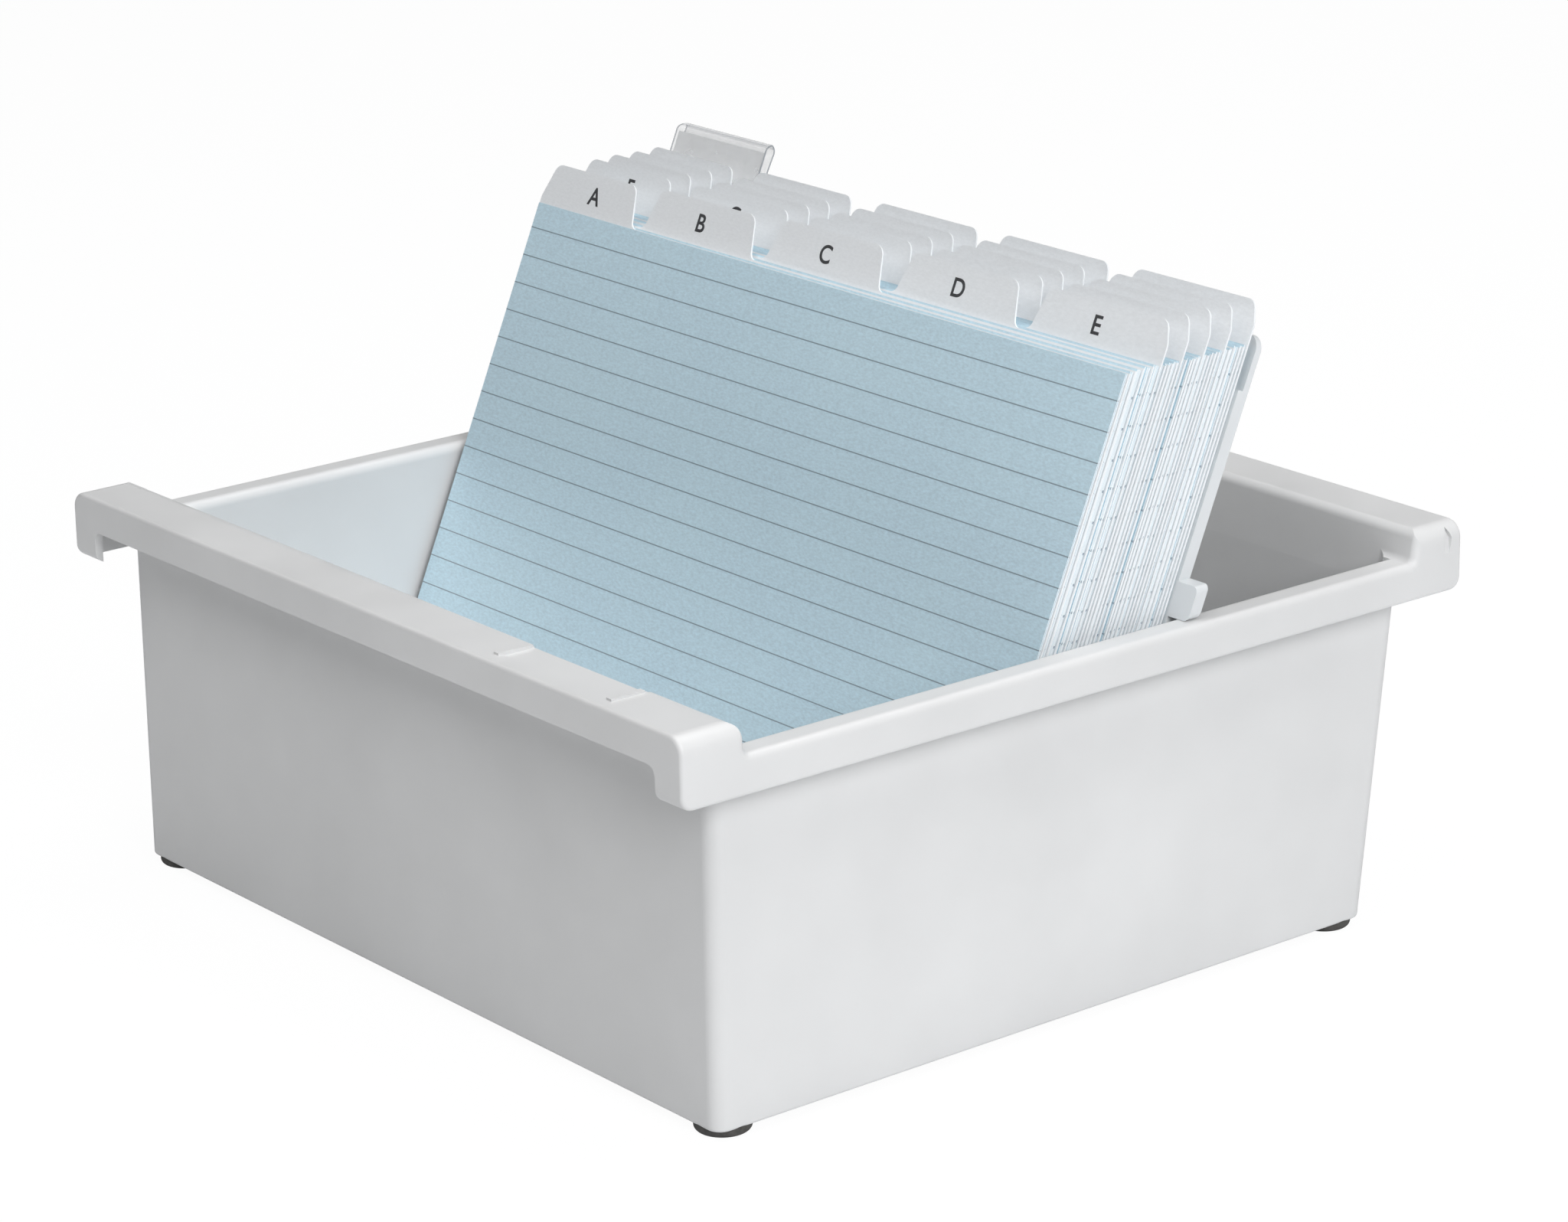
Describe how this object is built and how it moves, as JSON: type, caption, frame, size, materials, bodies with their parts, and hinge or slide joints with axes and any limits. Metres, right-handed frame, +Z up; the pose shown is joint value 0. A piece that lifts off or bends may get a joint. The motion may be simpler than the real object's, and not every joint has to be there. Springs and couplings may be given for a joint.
{
  "type": "index card drawer",
  "caption": "Open-top desk tray for landscape index cards, with lettered guide cards, a leaning support plate on side ears and a clear clip-on label window.",
  "frame": {"origin": "middle of the footprint, in the plane that the rubber feet stand on", "axes": "+X to the right along the front rail, +Y from the front rail to the rear rail, +Z up"},
  "size_m": [0.2304, 0.2224, 0.1558],
  "materials": {
    "tray_plastic": "fine satin moulded polystyrene, light grey",
    "plate_plastic": "fine satin moulded polystyrene, light grey",
    "foot_rubber": "matt dark rubber",
    "guide_plastic": "smooth pale blue-grey sheet with printed letters",
    "card_paper": "uncoated pale blue card",
    "window_clear": "clear glossy film",
    "insert_paper": "uncoated light grey paper"
  },
  "bodies": {
    "tray_body": {"tray": "tray_plastic", "foot_front_left": "foot_rubber", "foot_front_right": "foot_rubber", "foot_rear_left": "foot_rubber", "foot_rear_right": "foot_rubber"},
    "plate": {"support_plate": "plate_plastic"},
    "window": {"label_window": "window_clear"},
    "insert": {"label_insert": "insert_paper"},
    "front_section": {"front_cards": "card_paper"},
    "lead_card": {"front_card": "card_paper"},
    "section_a": {"guide_a": "guide_plastic", "cards_a": "card_paper"},
    "section_b": {"guide_b": "guide_plastic", "cards_b": "card_paper"},
    "section_c": {"guide_c": "guide_plastic", "cards_c": "card_paper"},
    "section_d": {"guide_d": "guide_plastic", "cards_d": "card_paper"},
    "section_e": {"guide_e": "guide_plastic", "cards_e": "card_paper"},
    "section_f": {"guide_f": "guide_plastic", "cards_f": "card_paper"},
    "section_g": {"guide_g": "guide_plastic", "cards_g": "card_paper"},
    "section_h": {"guide_h": "guide_plastic", "cards_h": "card_paper"},
    "section_i": {"guide_i": "guide_plastic", "cards_i": "card_paper"},
    "section_j": {"guide_j": "guide_plastic", "cards_j": "card_paper"},
    "section_k": {"guide_k": "guide_plastic", "cards_k": "card_paper"},
    "section_l": {"guide_l": "guide_plastic", "cards_l": "card_paper"},
    "section_m": {"guide_m": "guide_plastic", "cards_m": "card_paper"},
    "section_n": {"guide_n": "guide_plastic", "cards_n": "card_paper"},
    "section_o": {"guide_o": "guide_plastic", "cards_o": "card_paper"},
    "section_p": {"guide_p": "guide_plastic", "cards_p": "card_paper"},
    "section_q": {"guide_q": "guide_plastic", "cards_q": "card_paper"},
    "section_r": {"guide_r": "guide_plastic", "cards_r": "card_paper"},
    "section_s": {"guide_s": "guide_plastic", "cards_s": "card_paper"},
    "section_t": {"guide_t": "guide_plastic", "cards_t": "card_paper"},
    "section_u": {"guide_u": "guide_plastic", "cards_u": "card_paper"},
    "section_v": {"guide_v": "guide_plastic", "cards_v": "card_paper"},
    "section_w": {"guide_w": "guide_plastic", "cards_w": "card_paper"},
    "section_xy": {"guide_xy": "guide_plastic", "cards_xy": "card_paper"},
    "section_z": {"guide_z": "guide_plastic", "cards_z": "card_paper"}
  },
  "joints": [
    {"name": "plate_slide", "type": "slide", "parent": "tray_body", "child": "plate", "axis": [0, 1, 0], "range_m": [0, 0.058]},
    {"name": "window_slide", "type": "slide", "parent": "plate", "child": "window", "axis": [1, 0, 0], "range_m": [0, 0.174]},
    {"name": "insert_slide", "type": "slide", "parent": "window", "child": "insert", "axis": [1, 0, 0], "range_m": [0, 0.034]},
    {"name": "front_cards_flip", "type": "hinge", "parent": "tray_body", "child": "front_section", "pos_m": [0, -0.0411, 0.00678], "axis": [1, 0, 0], "range_deg": [0, 56]},
    {"name": "front_card_lift", "type": "slide", "parent": "front_section", "child": "lead_card", "axis": [0, 0.3984, 0.9172], "range_m": [0, 0.14]},
    {"name": "section_a_flip", "type": "hinge", "parent": "tray_body", "child": "section_a", "pos_m": [0, -0.03991, 0.00696], "axis": [1, 0, 0], "range_deg": [0, 53.87]},
    {"name": "section_b_flip", "type": "hinge", "parent": "tray_body", "child": "section_b", "pos_m": [0, -0.0379, 0.00709], "axis": [1, 0, 0], "range_deg": [0, 51.71]},
    {"name": "section_c_flip", "type": "hinge", "parent": "tray_body", "child": "section_c", "pos_m": [0, -0.03531, 0.00718], "axis": [1, 0, 0], "range_deg": [0, 49.56]},
    {"name": "section_d_flip", "type": "hinge", "parent": "tray_body", "child": "section_d", "pos_m": [0, -0.0328, 0.00709], "axis": [1, 0, 0], "range_deg": [0, 47.4]},
    {"name": "section_e_flip", "type": "hinge", "parent": "tray_body", "child": "section_e", "pos_m": [0, -0.03104, 0.00692], "axis": [1, 0, 0], "range_deg": [0, 45.25]},
    {"name": "section_f_flip", "type": "hinge", "parent": "tray_body", "child": "section_f", "pos_m": [0, -0.02983, 0.00687], "axis": [1, 0, 0], "range_deg": [0, 43.1]},
    {"name": "section_g_flip", "type": "hinge", "parent": "tray_body", "child": "section_g", "pos_m": [0, -0.02872, 0.00687], "axis": [1, 0, 0], "range_deg": [0, 40.94]},
    {"name": "section_h_flip", "type": "hinge", "parent": "tray_body", "child": "section_h", "pos_m": [0, -0.02747, 0.00692], "axis": [1, 0, 0], "range_deg": [0, 38.79]},
    {"name": "section_i_flip", "type": "hinge", "parent": "tray_body", "child": "section_i", "pos_m": [0, -0.02625, 0.00687], "axis": [1, 0, 0], "range_deg": [0, 36.64]},
    {"name": "section_j_flip", "type": "hinge", "parent": "tray_body", "child": "section_j", "pos_m": [0, -0.025, 0.00692], "axis": [1, 0, 0], "range_deg": [0, 34.48]},
    {"name": "section_k_flip", "type": "hinge", "parent": "tray_body", "child": "section_k", "pos_m": [0, -0.02351, 0.00696], "axis": [1, 0, 0], "range_deg": [0, 32.33]},
    {"name": "section_l_flip", "type": "hinge", "parent": "tray_body", "child": "section_l", "pos_m": [0, -0.02234, 0.00683], "axis": [1, 0, 0], "range_deg": [0, 30.17]},
    {"name": "section_m_flip", "type": "hinge", "parent": "tray_body", "child": "section_m", "pos_m": [0, -0.02133, 0.00687], "axis": [1, 0, 0], "range_deg": [0, 28.02]},
    {"name": "section_n_flip", "type": "hinge", "parent": "tray_body", "child": "section_n", "pos_m": [0, -0.02007, 0.00692], "axis": [1, 0, 0], "range_deg": [0, 25.87]},
    {"name": "section_o_flip", "type": "hinge", "parent": "tray_body", "child": "section_o", "pos_m": [0, -0.01858, 0.00696], "axis": [1, 0, 0], "range_deg": [0, 23.71]},
    {"name": "section_p_flip", "type": "hinge", "parent": "tray_body", "child": "section_p", "pos_m": [0, -0.01727, 0.00687], "axis": [1, 0, 0], "range_deg": [0, 21.56]},
    {"name": "section_q_flip", "type": "hinge", "parent": "tray_body", "child": "section_q", "pos_m": [0, -0.01616, 0.00687], "axis": [1, 0, 0], "range_deg": [0, 19.4]},
    {"name": "section_r_flip", "type": "hinge", "parent": "tray_body", "child": "section_r", "pos_m": [0, -0.01505, 0.00687], "axis": [1, 0, 0], "range_deg": [0, 17.25]},
    {"name": "section_s_flip", "type": "hinge", "parent": "tray_body", "child": "section_s", "pos_m": [0, -0.01379, 0.00692], "axis": [1, 0, 0], "range_deg": [0, 15.1]},
    {"name": "section_t_flip", "type": "hinge", "parent": "tray_body", "child": "section_t", "pos_m": [0, -0.0123, 0.00696], "axis": [1, 0, 0], "range_deg": [0, 12.94]},
    {"name": "section_u_flip", "type": "hinge", "parent": "tray_body", "child": "section_u", "pos_m": [0, -0.01085, 0.00692], "axis": [1, 0, 0], "range_deg": [0, 10.79]},
    {"name": "section_v_flip", "type": "hinge", "parent": "tray_body", "child": "section_v", "pos_m": [0, -0.00922, 0.007], "axis": [1, 0, 0], "range_deg": [0, 8.64]},
    {"name": "section_w_flip", "type": "hinge", "parent": "tray_body", "child": "section_w", "pos_m": [0, -0.00781, 0.00687], "axis": [1, 0, 0], "range_deg": [0, 6.48]},
    {"name": "section_xy_flip", "type": "hinge", "parent": "tray_body", "child": "section_xy", "pos_m": [0, -0.00669, 0.00687], "axis": [1, 0, 0], "range_deg": [0, 4.33]},
    {"name": "section_z_flip", "type": "hinge", "parent": "tray_body", "child": "section_z", "pos_m": [0, -0.00558, 0.00687], "axis": [1, 0, 0], "range_deg": [0, 2.17]}
  ],
  "couplings": [
    {"joint": "section_a_flip", "follows": "front_cards_flip", "ratio": 0.96154},
    {"joint": "section_b_flip", "follows": "front_cards_flip", "ratio": 0.92308},
    {"joint": "section_c_flip", "follows": "front_cards_flip", "ratio": 0.88462},
    {"joint": "section_d_flip", "follows": "front_cards_flip", "ratio": 0.84615},
    {"joint": "section_e_flip", "follows": "front_cards_flip", "ratio": 0.80769},
    {"joint": "section_f_flip", "follows": "front_cards_flip", "ratio": 0.76923},
    {"joint": "section_g_flip", "follows": "front_cards_flip", "ratio": 0.73077},
    {"joint": "section_h_flip", "follows": "front_cards_flip", "ratio": 0.69231},
    {"joint": "section_i_flip", "follows": "front_cards_flip", "ratio": 0.65385},
    {"joint": "section_j_flip", "follows": "front_cards_flip", "ratio": 0.61538},
    {"joint": "section_k_flip", "follows": "front_cards_flip", "ratio": 0.57692},
    {"joint": "section_l_flip", "follows": "front_cards_flip", "ratio": 0.53846},
    {"joint": "section_m_flip", "follows": "front_cards_flip", "ratio": 0.5},
    {"joint": "section_n_flip", "follows": "front_cards_flip", "ratio": 0.46154},
    {"joint": "section_o_flip", "follows": "front_cards_flip", "ratio": 0.42308},
    {"joint": "section_p_flip", "follows": "front_cards_flip", "ratio": 0.38462},
    {"joint": "section_q_flip", "follows": "front_cards_flip", "ratio": 0.34615},
    {"joint": "section_r_flip", "follows": "front_cards_flip", "ratio": 0.30769},
    {"joint": "section_s_flip", "follows": "front_cards_flip", "ratio": 0.26923},
    {"joint": "section_t_flip", "follows": "front_cards_flip", "ratio": 0.23077},
    {"joint": "section_u_flip", "follows": "front_cards_flip", "ratio": 0.19231},
    {"joint": "section_v_flip", "follows": "front_cards_flip", "ratio": 0.15385},
    {"joint": "section_w_flip", "follows": "front_cards_flip", "ratio": 0.11538},
    {"joint": "section_xy_flip", "follows": "front_cards_flip", "ratio": 0.07692},
    {"joint": "section_z_flip", "follows": "front_cards_flip", "ratio": 0.03846}
  ]
}
